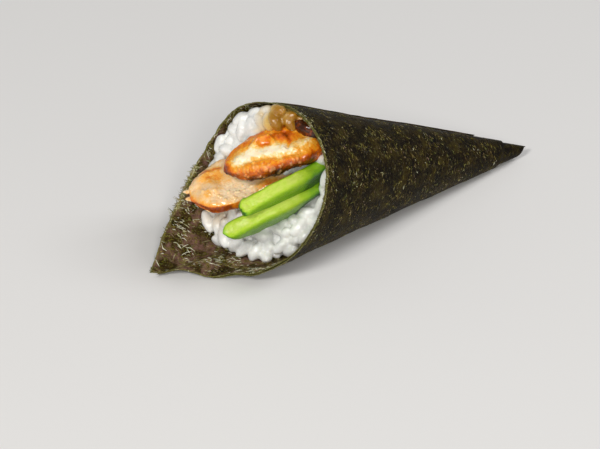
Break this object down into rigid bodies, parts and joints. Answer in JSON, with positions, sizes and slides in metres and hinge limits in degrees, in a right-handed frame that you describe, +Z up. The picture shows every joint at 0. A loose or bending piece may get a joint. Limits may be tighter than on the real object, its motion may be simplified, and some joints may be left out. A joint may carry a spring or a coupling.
{
  "type": "temaki hand roll",
  "caption": "Hand roll of nori wound into a pointed cone and filled with sushi rice, glazed grilled chicken and avocado slices, lying on its side.",
  "frame": {"origin": "middle of the footprint, on the surface the roll lies on", "axes": "+Z up, +X from the open mouth towards the pointed end, +Y away from the side on which the avocado lies"},
  "size_m": [0.1398, 0.0518, 0.0473],
  "materials": {
    "nori": "dry toasted seaweed, satin with a fibrous grain",
    "rice": "moist, slightly translucent cooked rice",
    "chicken": "glossy sweet glaze over grilled meat",
    "avocado": "smooth moist flesh, greener at the skin side"
  },
  "bodies": {
    "root": {"nori": "nori", "rice": "rice", "chicken_high": "chicken", "chicken_low": "chicken", "chicken_back": "chicken", "avocado_high": "avocado", "avocado_low": "avocado"}
  },
  "joints": []
}
